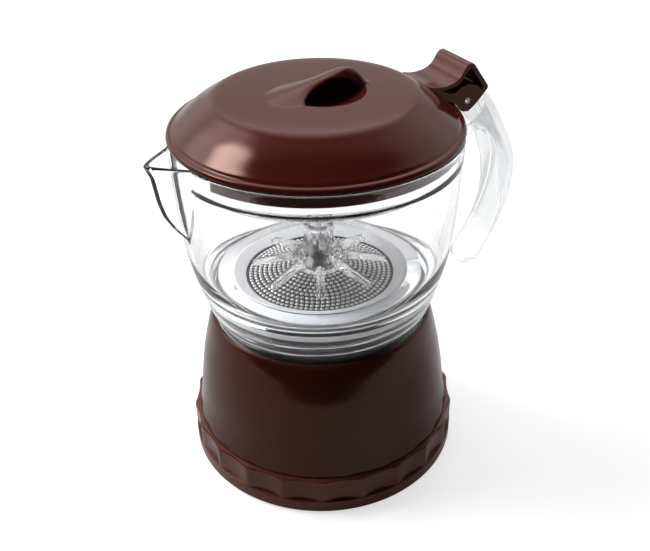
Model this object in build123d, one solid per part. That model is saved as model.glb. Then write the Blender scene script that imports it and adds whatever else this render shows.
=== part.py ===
# Microwave coffee maker with a clear jug, a hinged lid and a screwed-on base.
# Millimetres. Z is up, the origin is the middle of the foot, the handle points to +X
# and the spout to -X. Every piece is one STEP file in parts/.
import os
from math import cos, radians, sin

from build123d import *

os.makedirs("parts", exist_ok=True)


# Driving sizes, and the sizes that follow from them

fit_gap = 0.3               # between pieces that turn or lift apart
touch_gap = 0.05            # between pieces that rest on each other

ring_radius = 60.0          # crest of the grip ring
ring_height = 17.8
ring_bore = ring_radius - 3.6
ring_lip = ring_radius - 8.0
scallop_count = 22
scallop_depth = 1.35
scallop_turn = 4.9          # degrees from the handle to the nearest hollow
flange_height = 6.2

collar_radius = 42.2        # outside of the tank's threaded collar
collar_bore = collar_radius - 2.2
collar_top = 79.8
tank_floor = 8.4
tank_wall = 2.2

thread_pitch = 4.0
thread_depth = 1.2
thread_root = 2.2           # width of a thread tooth where it leaves the wall
thread_crest = 1.2
thread_start = collar_top - 10.8

neck_bore = collar_radius + thread_depth + 0.4
neck_radius = neck_bore + 1.8
shell_mouth = neck_radius + fit_gap
shell_top = 69.0
shell_wall = 2.2
shell_foot_radius = ring_radius - 2.6
shell_foot = ring_height + fit_gap
spigot_radius = ring_bore - fit_gap

funnel_top = collar_top + 1.8
gasket_foot = funnel_top + fit_gap
gasket_thickness = 3.0
floor_underside = gasket_foot + gasket_thickness + 0.2
floor_top = floor_underside + 2.9
floor_opening = 37.4

jug_rim_radius = 57.7
jug_rim_height = 150.5
jug_foot = shell_top - 2.0
spout_reach = 11.9          # of the spout's tip beyond the jug's rim
handle_width = 16.6
handle_wall = 2.0

pin_x = jug_rim_radius + 6.2
pin_height = jug_rim_height + 1.2
pin_hole = 1.5
pin_radius = pin_hole - touch_gap
ear_gap = 17.0              # between the insides of the two hinge ears
ear_thickness = 2.0
lever_swing = 13.0          # free radius round the pin for the lever

lid_radius = jug_rim_radius + 0.1
lid_underside = jug_rim_height + 0.4
lid_wall = 2.0
skirt_radius = jug_rim_radius - 2.4
skirt_depth = 5.4           # of the skirt's edge below the jug's rim

disc_radius = floor_opening - 4.0
disc_thickness = 0.5
rim_height = floor_underside - 0.95     # underside of the filter disc at its rim
cone_rise = 4.25
hub_height = rim_height + cone_rise     # underside of the filter disc at its hub
hub_radius = 9.5
hub_hole = 5.2


# Outlines

def outline(*edges):
    """A closed face in the XZ plane from edges drawn as (radius, height)."""
    return Plane.XZ * make_face(list(edges))


def turned(*edges):
    """A solid of revolution about Z from edges drawn as (radius, height)."""
    return revolve(outline(*edges), Axis.Z)


def turned_points(*points):
    """A solid of revolution about Z from straight runs between the points."""
    return turned(Polyline(*points, close=True))


def across(face, width):
    """A face in the XZ plane made into a plate of this width, centred on Y = 0."""
    return extrude(face, width / 2, both=True)


def tube(radius, length, x, y, z, axis=(0, 0, 1)):
    """A plain cylinder centred on the point, along the axis."""
    return Plane(origin=(x, y, z), z_dir=axis) * Cylinder(radius, length)


def from_rim(*points):
    """Points given as (distance out from the jug's rim, height above it)."""
    return [(jug_rim_radius + out, jug_rim_height + up) for out, up in points]


def raised(base, *points):
    """Points given as (radius, height above the base)."""
    return [(radius, base + up) for radius, up in points]


def thread(radius, bottom, turns, inward):
    """A helical tooth on a wall of this radius, one solid, starting at this height."""
    side = -1 if inward else 1
    buried = 0.3
    foot = radius - side * buried
    crest = radius + side * thread_depth
    path = Helix(thread_pitch, thread_pitch * turns, radius, center=(0, 0, bottom))
    section = Plane.XZ * make_face(Polyline(
        (foot, bottom - thread_root / 2),
        (crest, bottom - thread_crest / 2),
        (crest, bottom + thread_crest / 2),
        (foot, bottom + thread_root / 2),
        close=True))
    return sweep(section, path=path, is_frenet=True)


def holes_on_circles(radii, counts, hole_radius, z, depth):
    """Round cutters on rings about Z."""
    cutters = []
    for ring, count in zip(radii, counts):
        for index in range(count):
            turn = radians(360 * index / count)
            cutters.append(tube(hole_radius, depth, ring * cos(turn), ring * sin(turn), z))
    return cutters


# Base

def make_base_ring():
    """Grip ring: round flange below, scalloped band above, lip inside for the bottom plate."""
    crest = ring_radius - 0.2
    band_foot = flange_height + 0.2
    lip_height = 2.2
    ring = turned_points(
        (ring_lip, 0), (ring_radius - 1.1, 0), (ring_radius, 1.2), (ring_radius, flange_height),
        (crest, band_foot), (crest, ring_height - 0.6), (crest - 0.6, ring_height),
        (ring_bore, ring_height), (ring_bore, lip_height), (ring_lip, lip_height))
    half_step = radians(180 / scallop_count)
    half_chord = ring_radius * sin(half_step) - 0.4
    sagitta = scallop_depth - (ring_radius - ring_radius * cos(half_step))
    scallop_radius = (half_chord ** 2 + sagitta ** 2) / (2 * sagitta)
    centre = ring_radius - scallop_depth + scallop_radius
    band_height = ring_height - band_foot
    cutters = []
    for index in range(scallop_count):
        turn = radians(scallop_turn + 360 * index / scallop_count)
        cutters.append(tube(scallop_radius, band_height + 0.6, centre * cos(turn), centre * sin(turn),
                            band_foot + band_height / 2 + 0.3))
    return ring - cutters


def tank_foot_radius():
    """Radius of the tank's flat floor."""
    return shell_foot_radius - 13.4


def make_bottom_plate():
    """Floor disc flush with the ring, its flange on the ring's lip, two round ribs for the tank."""
    disc = ring_lip - fit_gap
    flange = ring_bore - fit_gap
    plate = turned_points((0, 0), (disc, 0), (disc, 2.3), (flange, 2.3), (flange, 4.2),
                          (disc - 2.1, 4.2), (disc - 2.1, 2.0), (0, 2.0))
    rib_top = tank_floor - touch_gap
    wide = tank_foot_radius() - 3.0
    outer_rib = turned_points((wide - 2, 1.9), (wide, 1.9), (wide, rib_top), (wide - 2, rib_top))
    inner_rib = turned_points((18, 1.9), (20, 1.9), (20, rib_top), (18, rib_top))
    return plate + outer_rib + inner_rib


def body_radius(share):
    """Outside radius of the body, this share of the way from its mouth out to its foot."""
    top = shell_mouth + 1.7
    return top + share * (shell_foot_radius - top)


def make_outer_shell():
    """Tapered body: spigot inside the grip ring, smooth wall, thick mouth at the top."""
    ledge = shell_top - 3.8
    spigot_foot = 4.4
    outer = Spline((shell_foot_radius, shell_foot), (body_radius(0.816), 28), (body_radius(0.714), 36),
                   (body_radius(0.592), 44), (body_radius(0.439), 52), (body_radius(0.245), 60),
                   (body_radius(0.061), shell_top - 2.4), (body_radius(0), shell_top - 0.8))
    top = Polyline((body_radius(0), shell_top - 0.8), (shell_mouth + 0.9, shell_top),
                   (shell_mouth + 0.4, shell_top), (shell_mouth, shell_top - 0.4), (shell_mouth, ledge),
                   (shell_mouth + 1.0, ledge))
    inner = Spline((shell_mouth + 1.0, ledge), (body_radius(0.245) - shell_wall, 60),
                   (body_radius(0.439) - shell_wall, 52), (body_radius(0.592) - shell_wall, 44),
                   (body_radius(0.714) - shell_wall, 36), (body_radius(0.816) - shell_wall, 28),
                   (shell_foot_radius - 3.2, 20))
    bore = spigot_radius - shell_wall
    foot = Polyline((shell_foot_radius - 3.2, 20), (bore, 17), (bore, spigot_foot),
                    (spigot_radius, spigot_foot), (spigot_radius, shell_foot),
                    (shell_foot_radius, shell_foot))
    return turned(outer, top, inner, foot)


def make_water_tank():
    """Vessel with a shoulder under the shell's mouth and a threaded collar above it."""
    foot = tank_foot_radius()
    floor = tank_floor + tank_wall
    shoulder = shell_top - 5.0
    waist = shell_mouth - fit_gap
    floor_edge = Polyline((0, floor), (0, tank_floor), (foot, tank_floor))
    outer = Spline((foot, tank_floor), (foot + 4.4, tank_floor + 4.0), (foot + 6.0, 20), (foot + 5.6, 32),
                   (body_radius(0.592) - 4.8, 44), (body_radius(0.395) - 4.5, 54), (waist, shoulder - 3.0))
    neck = Polyline((waist, shoulder - 3.0), (shell_mouth + 0.6, shoulder - 1.6),
                    (shell_mouth + 0.6, shoulder), (collar_radius + 1.4, shoulder),
                    (collar_radius, shoulder + 1.2), (collar_radius, collar_top), (collar_bore, collar_top),
                    (collar_bore, shoulder + 1.0))
    inner = Spline((collar_bore, shoulder + 1.0), (collar_bore + 3.2, shoulder - 4.0),
                   (body_radius(0.395) - 4.5 - tank_wall, 54), (body_radius(0.592) - 4.8 - tank_wall, 44),
                   (foot + 5.6 - tank_wall, 32), (foot + 6.0 - tank_wall, 20), (foot + 2.4, 14),
                   (foot - 1.0, floor))
    tank = turned(floor_edge, outer, neck, inner, Line((foot - 1.0, floor), (0, floor)))
    return tank + thread(collar_radius, thread_start, 2.25, inward=False)


def make_shell_seal():
    """Silicone ring between the tank's shoulder and the shell's mouth."""
    low = shell_top - 5.0 + touch_gap
    high = shell_top - 3.8 - touch_gap
    inside = shell_mouth - 1.3
    outside = shell_mouth + 0.6
    return turned_points((inside, low), (outside, low), (outside, high), (inside, high))


# Filter and funnel

basket_radius = disc_radius - 2.4       # inside of the coffee basket
screen_seat = collar_top - 16.6


def make_coffee_funnel():
    """Basket with a flange on the collar, a centring rim and a stem down into the water."""
    stem = 6.0
    stem_bore = 4.5
    stem_foot = tank_floor + 5.2
    step = basket_radius - 1.4
    wall = basket_radius + 1.8
    rim = collar_bore - fit_gap
    body = turned_points(
        (stem_bore, stem_foot), (stem, stem_foot), (stem, screen_seat - 12.2), (wall, screen_seat - 1.6),
        (wall, collar_top - 1.4), (rim - 1.7, collar_top - 1.4), (rim - 1.7, collar_top - 3.8),
        (rim, collar_top - 3.8), (rim, collar_top), (collar_radius, collar_top),
        (collar_radius, funnel_top), (basket_radius, funnel_top), (basket_radius, screen_seat),
        (step, screen_seat), (step, screen_seat - 1.0), (stem_bore, screen_seat - 10.8))
    notch = tube(1.6, 20, 0, 0, stem_foot, axis=(1, 0, 0)) + tube(1.6, 20, 0, 0, stem_foot, axis=(0, 1, 0))
    return body - notch


def make_funnel_screen():
    """Perforated disc that lies on the step inside the basket."""
    low = screen_seat + touch_gap
    edge = basket_radius - 0.2
    disc = turned_points((0, low), (edge, low), (edge, low + 0.5), (0, low + 0.5))
    return disc - holes_on_circles((6, 12, 18, 24), (8, 16, 24, 32), 0.8, low + 0.25, 4)


def make_filter_gasket():
    """Silicone ring: flat under the jug's floor, with a lip up through the floor's opening."""
    inside = disc_radius - 1.8
    groove = disc_radius + 0.2
    neck = floor_opening - 0.2
    top = gasket_foot + gasket_thickness
    groove_foot = rim_height - touch_gap
    groove_top = rim_height + disc_thickness + 0.1
    return turned_points(
        (inside, gasket_foot), (neck_bore - 0.6, gasket_foot), (neck_bore - 0.6, top), (neck, top),
        (neck, floor_top - 0.8), (neck - 0.6, floor_top - 0.5), (inside, groove_top + 0.55),
        (inside, groove_top), (groove, groove_top), (groove, groove_foot), (inside, groove_foot))


def make_filter_disc():
    """Perforated sheet: flat rim in the gasket's groove, shallow cone, flat hub."""
    cone_foot = disc_radius - 2.6
    disc = turned_points(
        (hub_hole, hub_height), (hub_radius, hub_height), (cone_foot, rim_height),
        (disc_radius, rim_height), (disc_radius, rim_height + disc_thickness),
        (cone_foot, rim_height + disc_thickness), (hub_radius, hub_height + disc_thickness),
        (hub_hole, hub_height + disc_thickness))
    middle = (rim_height + hub_height) / 2
    return disc - holes_on_circles((13, 18, 23, 28), (16, 24, 32, 40), 0.7, middle, cone_rise + 4)


def make_hub_clip():
    """Ring pressed on the column's spigot under the filter disc."""
    spigot = hub_hole - 0.15
    top = hub_height - touch_gap
    return turned_points((spigot, top - 1.15), (hub_radius - 0.9, top - 1.15), (hub_radius - 0.9, top),
                         (spigot, top))


def make_outlet_column():
    """Clear column: spigot through the filter disc, hub, eight arms, windows near its top."""
    foot = hub_height + disc_thickness + touch_gap
    spigot_foot = hub_height - 1.6
    column_top = foot + 20.55
    column_radius = 6.3
    wide = hub_radius + 0.8
    bore = 3.7
    spigot = hub_hole - 0.2
    arm_count = 8
    arm_phase = 19.0        # turns the arms as the photograph shows them
    arm_reach = disc_radius - 5.1
    arm_width = 3.4
    column = turned(
        Polyline((bore, spigot_foot), (spigot, spigot_foot), (spigot, foot), (wide, foot),
                 (wide, foot + 6.05)),
        Spline((wide, foot + 6.05), (wide - 0.9, foot + 8.65), (column_radius + 0.6, foot + 10.45),
               (column_radius, foot + 12.55)),
        Polyline((column_radius, foot + 12.55), (column_radius, column_top - 1),
                 (column_radius - 1, column_top), (0, column_top), (0, column_top - 1.6),
                 (bore, column_top - 1.6), (bore, spigot_foot)))
    tip = rim_height + 4.85
    arm = across(outline(Polyline((8.0, foot + 6.85), (8.0, foot + 3.25), (arm_reach, tip),
                                  (arm_reach, tip + 2.0), close=True)), arm_width)
    groove = across(outline(Polyline((11.0, foot + 5.05), (11.0, foot + 2.05), (arm_reach - 1, tip - 1),
                                     (arm_reach - 1, tip + 1), close=True)), 1.6)
    window = Pos(0, 0, foot + 15.05) * Box(2.4, 2 * column_radius + 4, 6.0)
    for index in range(arm_count):
        column += Rot(0, 0, arm_phase + 360 * index / arm_count) * arm
    for index in range(arm_count):
        column -= Rot(0, 0, arm_phase + 360 * index / arm_count) * groove
    for index in range(2):
        column -= Rot(0, 0, arm_phase + 22.5 + 90 * index) * window
    return column


# Jug

def belly(share):
    """Outside radius of the jug, this share of the way from its neck out to its rim."""
    return neck_radius + share * (jug_rim_radius - neck_radius)


def level(share):
    """Height this share of the way from the jug's floor up to its rim."""
    return floor_top + share * (jug_rim_height - floor_top)


def spout_section(height, reach, half_width, inset):
    """The spout's V outline at this height, drawn in from the outside by the inset."""
    root = jug_rim_radius - 7.7
    tip = 2.0
    wide = half_width - inset
    far = jug_rim_radius + reach - inset * 1.15
    face = make_face(Polyline((-root, wide), (-far + tip, 1.3), (-far, 0.45), (-far, -0.45),
                              (-far + tip, -1.3), (-root, -wide), close=True))
    return Pos(0, 0, height) * face


def make_spout(inset, bottom, top):
    """The spout's wedge, or with an inset the hollow inside it."""
    levels = ((bottom, -1.9, 3.0), (level(0.544), 3.5, 8.0), (level(0.648), 7.0, 11.0),
              (level(0.752), 8.6, 13.0), (level(0.912), 9.8, 14.5), (top, spout_reach, 15.5))
    sections = []
    for height, reach, half_width in levels:
        sections.append(spout_section(height, reach, half_width, inset))
    return loft(sections, ruled=True)


def make_handle():
    """Channel handle: a bent strap with side walls, open towards the jug, free at its foot."""
    back = Spline(*from_rim((18.5, 1.5), (23.5, -5.9), (30.6, -18.9), (35.1, -29.5), (36.1, -40.5),
                            (33.1, -56.0), (27.7, -67.6), (21.3, -77.5)))
    foot = Polyline(*from_rim((21.3, -77.5), (17.7, -82.9), (15.1, -83.9), (14.7, -81.9), (18.3, -78.9)))
    inside = Spline(*from_rim((18.3, -78.9), (25.9, -66.5), (29.7, -54.9), (29.9, -40.5), (25.5, -24.9),
                              (20.1, -16.1), (15.3, -13.9)))
    root = Polyline(*from_rim((15.3, -13.9), (4.3, -16.9), (-1.1, -22.5), (-1.9, -22.5), (-1.9, -2.5),
                              (12.3, 1.5), (18.5, 1.5)))
    body = across(outline(back, foot, inside, root), handle_width)
    swing = tube(lever_swing, handle_width + 4, pin_x, 0, pin_height, axis=(0, 1, 0))
    hollow_back = Spline(*from_rim((21.9, -12.5), (28.3, -19.5), (33.0, -30.3), (33.9, -40.5),
                                   (31.1, -55.3), (25.9, -66.3), (19.9, -75.9)))
    hollow_front = Polyline(*from_rim((19.9, -75.9), (16.3, -79.5), (12.3, -76.5), (22.3, -54.5),
                                      (22.3, -30.5), (16.3, -17.5), (21.9, -12.5)))
    hollow = across(outline(hollow_back, hollow_front), handle_width - 2 * handle_wall)
    # The foot of the strap is round when seen from the jug.
    end_round = handle_width / 2 + 1.0
    round_height = jug_rim_height - 84.1 + end_round
    reach = jug_rim_radius + 52.3
    rounded = Plane(origin=(0, 0, round_height), z_dir=(1, 0, 0)) * extrude(Circle(end_round), reach)
    upright = Pos(0, 0, round_height) * Box(reach, handle_width + 2, 120,
                                            align=(Align.MIN, Align.CENTER, Align.MIN))
    return (body - swing - hollow) & (rounded + upright)


def make_jug():
    """Clear jug in one moulding, with neck thread, floor, spout, handle and hinge lug."""
    lip_inside = jug_rim_radius - 1.8
    seat = (lip_inside, jug_rim_height - 8.5)
    seat_foot = (lip_inside - 1.0, jug_rim_height - 9.3)
    neck_foot = (neck_radius, jug_foot + 2.4)
    rim_side = (jug_rim_radius, jug_rim_height - 0.8)
    floor_edge = (neck_radius + 0.2, floor_top)
    outer = Spline(neck_foot, (belly(0.14), jug_foot + 6.2), (belly(0.2975), jug_foot + 11.6),
                   (belly(0.446), jug_foot + 18.0), (belly(0.603), level(0.064)),
                   (belly(0.744), level(0.192)), (belly(0.835), level(0.32)), (belly(0.893), level(0.464)),
                   (belly(0.942), level(0.672)), (belly(0.9835), level(0.848)), rim_side)
    rim = Polyline(rim_side, (jug_rim_radius - 0.6, jug_rim_height), (lip_inside + 0.4, jug_rim_height),
                   (lip_inside, jug_rim_height - 0.5), seat, seat_foot)
    inner = Spline(seat_foot, (belly(0.942) - 2.4, level(0.672)), (belly(0.893) - 2.3, level(0.464)),
                   (belly(0.835) - 2.3, level(0.32)), (belly(0.744) - 2.4, level(0.192)),
                   (belly(0.63) - 2.9, level(0.086)), (belly(0.56) - 3.8, level(0.032)), floor_edge)
    floor = Polyline(floor_edge, (floor_opening, floor_top), (floor_opening, floor_underside),
                     (neck_bore, floor_underside), (neck_bore, jug_foot), (neck_radius - 0.4, jug_foot),
                     neck_foot)
    wall = turned(outer, rim, inner, floor)
    above = jug_rim_height + 1.5
    cavity = turned(
        Polyline((0, above), (lip_inside, above), seat, seat_foot),
        inner,
        Polyline(floor_edge, (0, floor_top), (0, above)))
    spout = make_spout(0, level(0.432), jug_rim_height) - cavity
    spout_hollow = make_spout(2.0, level(0.48), jug_rim_height + 0.5)
    lug_half = ear_gap / 2 - fit_gap
    knuckle = tube(3.9, 2 * lug_half, pin_x, 0, pin_height, axis=(0, 1, 0))
    lug = across(outline(Polyline(*from_rim((-0.9, -6.9), (-0.9, -0.3), (0.5, -0.1), (3.7, 4.1), (6.3, 0.5),
                                            (6.5, -2.7)), close=True)), 2 * lug_half)
    inside = turned_points(*[(0, 100), *from_rim((-1.1, -50.5), (-1.1, 1.5)), (0, above)])
    handle = make_handle() - inside
    jug = wall + spout - spout_hollow + handle + lug + knuckle
    jug = jug - tube(pin_hole, 30, pin_x, 0, pin_height, axis=(0, 1, 0))
    return jug + thread(neck_bore, thread_start + thread_pitch / 2, 1.9, inward=True)


def make_hinge_pin():
    """Clear pin through both ears and the lug."""
    return tube(pin_radius, ear_gap + 2 * ear_thickness - 0.2, pin_x, 0, pin_height, axis=(0, 1, 0))


# Lid

def lid_outer():
    """The dome's outside from its middle to the groove inside its rim bead, then the bead."""
    brow = lid_radius - 20.5
    edge = lid_radius - 2.4
    top = raised(jug_rim_height, (0, 14.5), (brow * 0.4, 14.47), (brow * 0.8, 14.38), (brow, 14.2))
    side = raised(jug_rim_height, (brow, 14.2), (brow + 4.5, 12.4), (brow + 8.2, 10.5), (brow + 11.2, 8.5),
                  (brow + 13.7, 6.5), (brow + 16.2, 4.4), (edge, 2.9))
    bead = raised(jug_rim_height, (edge, 2.9), (edge + 0.7, 3.0), (edge + 1.5, 2.6), (edge + 2.15, 1.8),
                  (lid_radius, 0.8))
    return [Spline(*top, tangents=((1, 0), (1, -0.12))), Spline(*side), Polyline(*bead)]


def grip_section(x, near, far, top):
    """Cross-section of the hood at this x: a ridge with a steep near side and a rounded far side."""
    foot = jug_rim_height + 10.6
    flat = jug_rim_height + 14.3
    crest = jug_rim_height + top
    rise = crest - flat
    face = Polyline((-near, foot), (-near, flat), (-0.7 * near, flat + 0.55 * rise), (-1.8, crest),
                    (1.0, crest), (0.55 * far, flat + 0.72 * rise), (far, flat), (far, foot), close=True)
    return Plane.YZ.offset(x) * make_face(face)


def make_grip():
    """Hood over the finger dish: low and wide at the spout's end, high and narrow at the hinge's."""
    wide = 11.0
    far = 12.5
    narrow = 3.6
    ends = (grip_section(-21.0, 0.6 * wide, 0.5 * far, 14.4), grip_section(-15.0, wide, 0.8 * far, 16.3))
    rise = (grip_section(-9.0, 0.9 * wide, far, 17.4), grip_section(1.4, 1.4 * narrow, far, 19.4))
    peak = (grip_section(10.5, narrow, far, 21.5), grip_section(13.4, narrow, 0.9 * far, 21.6),
            grip_section(16.4, narrow, 0.7 * far, 20.6))
    fall = (grip_section(19.1, narrow, 0.4 * far, 18.1), grip_section(22.2, 0.8 * narrow, 0.8 * narrow, 14.4))
    return loft([*ends, *rise, *peak, *fall], ruled=True)


def grip_hollow(far_wall):
    """The arched space under the hood, open to the near side, as far as this wall."""
    arch = Spline(*raised(jug_rim_height, (-7.6, 14.3), (-3.4, 15.9), (0.1, 17.2), (4.7, 18.7), (9.0, 18.9),
                          (13.3, 17.4), (16.2, 14.3)))
    below = Polyline(*raised(jug_rim_height, (16.2, 14.3), (16.2, 9.0), (-7.6, 9.0), (-7.6, 14.3)))
    return Pos(0, far_wall, 0) * extrude(outline(arch, below), far_wall + 14.0)


def make_lever():
    """Hollow thumb lever: curved skin, sloping back, closed underneath, ears with pin holes."""
    width = ear_gap + 2 * ear_thickness
    skin_top = Spline(*from_rim((-12.2, 10.4), (-7.7, 9.5), (-2.7, 9.8), (1.3, 11.5), (3.5, 14.3),
                                (5.3, 16.5), (7.5, 16.9)))
    back = Polyline(*from_rim((7.5, 16.9), (8.7, 15.9), (15.9, 6.1), (16.0, 4.9), (13.9, 2.7), (10.1, -1.1),
                              (6.9, -3.3), (3.9, -2.9), (1.9, -0.9), (0.7, 0.7), (-1.1, 1.1), (-5.7, 4.1),
                              (-12.2, 8.5), (-12.2, 10.4)))
    solid = across(outline(skin_top, back), width)
    # The hollow runs from end to end between the skin, the back and the shroud round the lug.
    hollow_skin = Spline(*from_rim((-7.3, 8.2), (-2.5, 8.2), (2.1, 9.8), (4.5, 12.9), (6.9, 15.1)))
    hollow_foot = Polyline(*from_rim((6.9, 15.1), (13.5, 6.1), (12.9, 4.7), (10.5, 7.1), (6.2, 8.5),
                                     (2.3, 7.5), (-0.1, 5.9), (-3.1, 6.1), (-7.3, 8.2)))
    hollow = across(outline(hollow_skin, hollow_foot), width + 2)
    lug_room = tube(5.6, ear_gap, pin_x, 0, pin_height, axis=(0, 1, 0))
    below = across(outline(Polyline(*from_rim((-3.7, 2.1), (2.3, 2.1), (6.2, 1.2), (13.3, 1.2),
                                              (13.3, -10.5), (-3.7, -10.5)), close=True)), ear_gap)
    pin_bore = tube(pin_hole, width + 2, pin_x, 0, pin_height, axis=(0, 1, 0))
    return solid - hollow - lug_room - below - pin_bore


def make_lid():
    """Flat-topped lid with a hooded finger dish, inner skirt and thumb lever."""
    dish_x = 3.5
    dish_height = jug_rim_height + 36.2
    dish_radius = 27.2
    dish_back = 4.0         # the dish ends here, under the hood
    brow = lid_radius - 21.0
    skirt_inside = skirt_radius - 1.8
    skirt_foot = jug_rim_height - skirt_depth
    rim_side = Polyline((lid_radius, jug_rim_height + 0.8), (lid_radius - 0.2, lid_underside),
                        (0, lid_underside), (0, jug_rim_height + 14.5))
    full = turned(*lid_outer(), rim_side)
    under = raised(jug_rim_height, (0, 12.5), (brow * 0.4, 12.47), (brow * 0.8, 12.38), (brow, 12.2))
    under_side = raised(jug_rim_height, (brow, 12.2), (brow + 4.2, 10.4), (brow + 7.6, 8.6),
                        (brow + 10.4, 6.7), (brow + 12.8, 4.7), (brow + 15.2, 2.5))
    hollow = turned(
        Spline(*under, tangents=((1, 0), (1, -0.12))),
        Spline(*under_side),
        Polyline(under_side[-1], (skirt_inside, jug_rim_height + 1.1), (skirt_inside, skirt_foot - 0.1),
                 (0, skirt_foot - 0.1), (0, jug_rim_height + 12.5)))
    skirt = turned_points((skirt_inside, skirt_foot), (skirt_radius, skirt_foot),
                          (skirt_radius, jug_rim_height + 1.0), (skirt_inside, jug_rim_height + 1.0))
    # Both ends of the skirt stop short of the spout, so that coffee can pour.
    pour_gap = Pos(-skirt_radius, 0, skirt_foot + 2.8) * Box(30, 40, 6.0)
    near_side = Pos(dish_x, dish_back, dish_height) * Box(60, 60, 60, align=(Align.CENTER, Align.MAX,
                                                                             Align.CENTER))
    dish = Pos(dish_x, 0, dish_height) * Sphere(dish_radius) & near_side
    bowl = Pos(dish_x, 0, dish_height) * Sphere(dish_radius + lid_wall) & (Pos(0, lid_wall, 0) * near_side)
    dome = (full - hollow) + (full & bowl) - dish
    grip = make_grip() - (hollow - bowl) - grip_hollow(dish_back)
    return dome + grip + (skirt - pour_gap) + (make_lever() - hollow)


makers = {
    "base_ring": make_base_ring,
    "bottom_plate": make_bottom_plate,
    "outer_shell": make_outer_shell,
    "water_tank": make_water_tank,
    "shell_seal": make_shell_seal,
    "coffee_funnel": make_coffee_funnel,
    "funnel_screen": make_funnel_screen,
    "filter_gasket": make_filter_gasket,
    "filter_disc": make_filter_disc,
    "hub_clip": make_hub_clip,
    "outlet_column": make_outlet_column,
    "jug": make_jug,
    "hinge_pin": make_hinge_pin,
    "lid": make_lid,
}

for name, make in makers.items():
    piece = make()
    solids = piece.solids()
    box = piece.bounding_box()
    print(name, "solids", len(solids), "volume", round(piece.volume), "valid", piece.is_valid,
          "box", [round(v, 1) for v in (*box.min, *box.max)])
    export_step(piece, f"parts/{name}.step")
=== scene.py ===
from math import cos, pi, radians, sin, sqrt, tan

import bmesh
import bpy
import numpy as np
from mathutils import Matrix, Vector


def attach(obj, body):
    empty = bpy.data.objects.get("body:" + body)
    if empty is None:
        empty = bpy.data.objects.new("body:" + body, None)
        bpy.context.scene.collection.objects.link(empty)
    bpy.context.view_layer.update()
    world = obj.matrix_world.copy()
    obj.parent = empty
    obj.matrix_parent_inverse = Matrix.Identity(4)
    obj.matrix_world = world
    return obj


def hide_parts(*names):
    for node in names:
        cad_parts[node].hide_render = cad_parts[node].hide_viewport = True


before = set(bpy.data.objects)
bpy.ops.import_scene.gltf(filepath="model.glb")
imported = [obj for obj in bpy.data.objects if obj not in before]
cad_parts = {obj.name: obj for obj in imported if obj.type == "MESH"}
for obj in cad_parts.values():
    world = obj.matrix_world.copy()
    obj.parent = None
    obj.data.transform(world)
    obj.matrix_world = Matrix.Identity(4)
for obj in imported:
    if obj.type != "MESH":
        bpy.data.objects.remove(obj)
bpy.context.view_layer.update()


# Studio
# A white table that ends a hand's breadth in front of the object, soft light from the wall
# behind it, two fainter glows at the sides and one small bright lamp high at the left. The room
# on the camera's side is dark, which is what draws the edges of the clear plastic.

def linear(code):
    """A colour written as sRGB hex, as the linear values that the shaders take."""
    values = []
    for start in (0, 2, 4):
        v = int(code[start:start + 2], 16) / 255
        values.append(v / 12.92 if v <= 0.04045 else ((v + 0.055) / 1.055) ** 2.4)
    return (*values, 1.0)


def add(tree, kind, sockets=None, **settings):
    """Adds one node. sockets maps an input's name or number to its value or to what feeds it."""
    node = tree.nodes.new(kind)
    for name, value in settings.items():
        setattr(node, name, value)
    for key, value in (sockets or {}).items():
        if isinstance(value, bpy.types.NodeSocket):
            tree.links.new(value, node.inputs[key])
        else:
            node.inputs[key].default_value = value
    return node


heading = radians(27)                                  # the way the camera looks, from +Y to +X
away = Vector((sin(heading), cos(heading), 0))
rightward = Vector((cos(heading), -sin(heading), 0))

camera = bpy.data.objects.new("camera", bpy.data.cameras.new("camera"))
camera.data.lens = 47.2
camera.data.sensor_width = 36.0
camera.location = (-0.1377, -0.2751, 0.2838)
camera.rotation_euler = (Matrix.Rotation(-heading, 4, "Z") @ Matrix.Rotation(radians(56.66), 4, "X")
                         @ Matrix.Rotation(radians(-1.24), 4, "Z")).to_euler()
bpy.context.collection.objects.link(camera)
bpy.context.scene.camera = camera

scene = bpy.context.scene
scene.view_settings.view_transform = "Standard"
scene.cycles.max_bounces = 24
scene.cycles.transmission_bounces = 24
scene.cycles.transparent_max_bounces = 24


table_front = -0.23               # metres from the object's axis, the way the camera looks
table_reach = 3.0
table = bpy.data.meshes.new("table")
table.from_pydata([away * depth + rightward * side + Vector((0, 0, -0.0002))
                   for depth, side in ((table_front, -table_reach), (table_front, table_reach),
                                       (table_reach, table_reach), (table_reach, -table_reach))],
                  [], [(0, 1, 2, 3)])
table = bpy.data.objects.new("table", table)
bpy.context.collection.objects.link(table)
paint = bpy.data.materials.new("matt_white_table")
paint.use_nodes = True
tree = paint.node_tree
tree.nodes.clear()
path = add(tree, "ShaderNodeLightPath").outputs
matt = add(tree, "ShaderNodeBsdfDiffuse", {"Color": linear("c0c0c0")})
# The white backdrop is a little brighter than its lamps make it, less so in a reflection.
lift = 0.0
for kind_of_ray, share in (("Is Camera Ray", 0.66), ("Is Transmission Ray", 0.58), ("Is Glossy Ray", 0.10)):
    seen = add(tree, "ShaderNodeMath", {0: path[kind_of_ray], 1: share}, operation="MULTIPLY")
    lift = add(tree, "ShaderNodeMath", {0: seen.outputs[0], 1: lift}, operation="MAXIMUM").outputs[0]
glow = add(tree, "ShaderNodeEmission", {"Color": (1, 1, 1, 1), "Strength": lift})
both = add(tree, "ShaderNodeAddShader", {0: matt.outputs[0], 1: glow.outputs[0]})
add(tree, "ShaderNodeOutputMaterial", {"Surface": both.outputs[0]})
table.data.materials.append(paint)

room = bpy.data.worlds.new("studio")
room.use_nodes = True
scene.world = room
tree = room.node_tree
tree.nodes.clear()
view_ray = add(tree, "ShaderNodeTexCoord").outputs["Generated"]


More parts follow.
